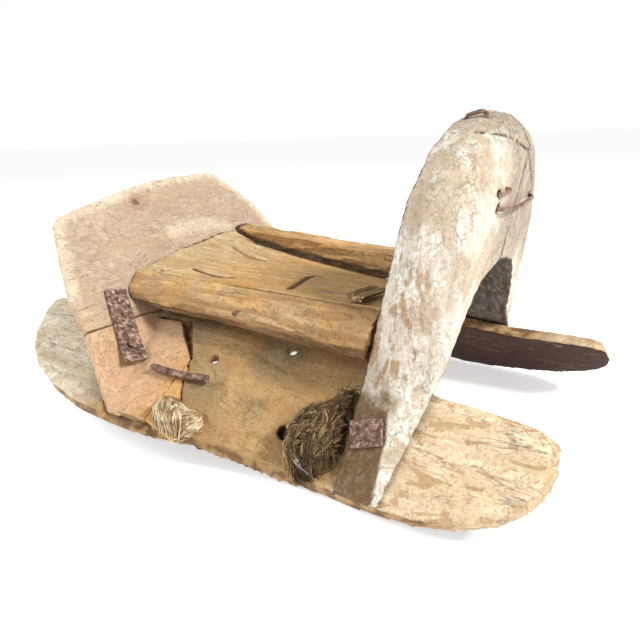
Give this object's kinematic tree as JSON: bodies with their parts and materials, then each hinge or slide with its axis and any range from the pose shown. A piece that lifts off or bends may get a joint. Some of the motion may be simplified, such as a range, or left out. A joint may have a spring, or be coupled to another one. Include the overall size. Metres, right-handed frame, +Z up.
{
  "type": "saddle tree",
  "caption": "Carved wooden saddle tree: twisted side boards, arched pommel, leaning cantle and a seat of boards and rails, held by rope lashings and forged iron.",
  "frame": {"origin": "middle plane, midway between the board ends, at the height of the boards' lower edges", "axes": "+X towards the pommel, +Y to the far side board, +Z up"},
  "size_m": [0.5757, 0.3894, 0.2715],
  "materials": {
    "board_wood": "worn, matt, mottled pale",
    "cantle_wood": "worn, matt, pinkish grey",
    "seat_wood": "hand-polished tan",
    "pommel_wood": "weathered, nearly white",
    "old_iron": "rusted, forged",
    "pale_rope": "frayed fibre",
    "dark_rope": "matted dirty fibre"
  },
  "bodies": {
    "root": {"near_side_board": "board_wood", "far_side_board": "board_wood", "near_foot_sliver": "board_wood", "far_foot_sliver": "board_wood", "cantle_board": "cantle_wood", "near_cantle_leg": "cantle_wood", "far_cantle_leg": "cantle_wood", "near_seat_rail": "seat_wood", "seat_board": "seat_wood", "seat_peg": "seat_wood", "far_seat_rail": "seat_wood", "pommel_near_half": "pommel_wood", "pommel_far_half": "pommel_wood", "near_rear_lashing": "pale_rope", "far_rear_lashing": "pale_rope", "near_pommel_lashing": "dark_rope", "far_pommel_lashing": "dark_rope", "seat_lashing": "pale_rope", "near_cantle_strap": "old_iron", "far_cantle_strap": "old_iron", "near_strap_nail_1": "old_iron", "near_strap_nail_2": "old_iron", "far_strap_nail_1": "old_iron", "far_strap_nail_2": "old_iron", "near_leg_cleat": "old_iron", "far_leg_cleat": "old_iron", "near_foot_cleat": "old_iron", "far_foot_cleat": "old_iron", "pommel_front_staple": "old_iron", "pommel_front_stub": "old_iron", "pommel_crown_staple": "old_iron"}
  },
  "joints": []
}
